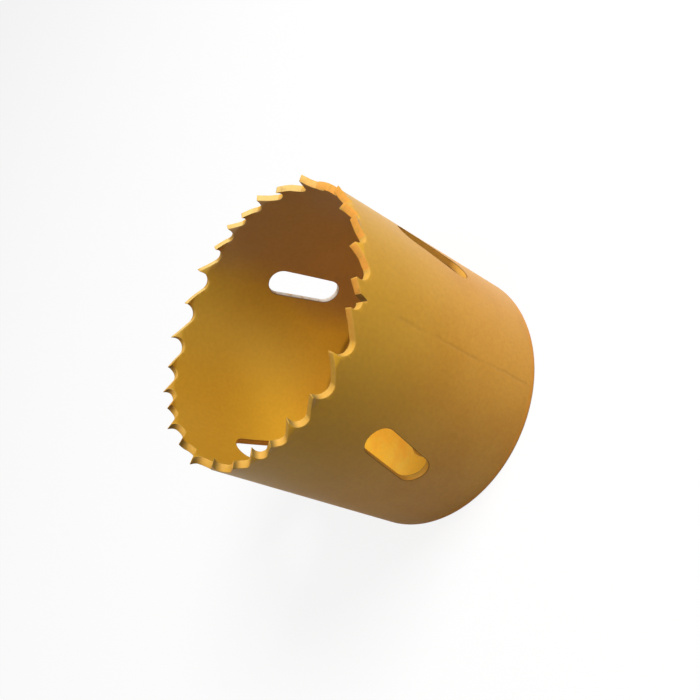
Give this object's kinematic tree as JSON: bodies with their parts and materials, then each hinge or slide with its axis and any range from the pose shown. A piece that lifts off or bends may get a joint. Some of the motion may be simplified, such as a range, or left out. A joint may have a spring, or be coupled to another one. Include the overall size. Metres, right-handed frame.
{
  "type": "hole saw",
  "caption": "Hole saw: an open cup of rolled steel strip with set saw teeth round its rim, slanted slots through its wall and a threaded end plate for an arbor.",
  "frame": {"origin": "centre of the closed end's outer face", "axes": "+Z along the saw's axis from the closed end to the teeth; the slots are centred on +X, +Y, -X and -Y"},
  "size_m": [0.0511, 0.0506, 0.0432],
  "materials": {
    "shell_lacquer": "satin golden tan lacquer on steel",
    "plate_lacquer": "satin golden tan lacquer on steel"
  },
  "bodies": {
    "root": {"toothed_shell": "shell_lacquer", "end_plate": "plate_lacquer"}
  },
  "joints": []
}
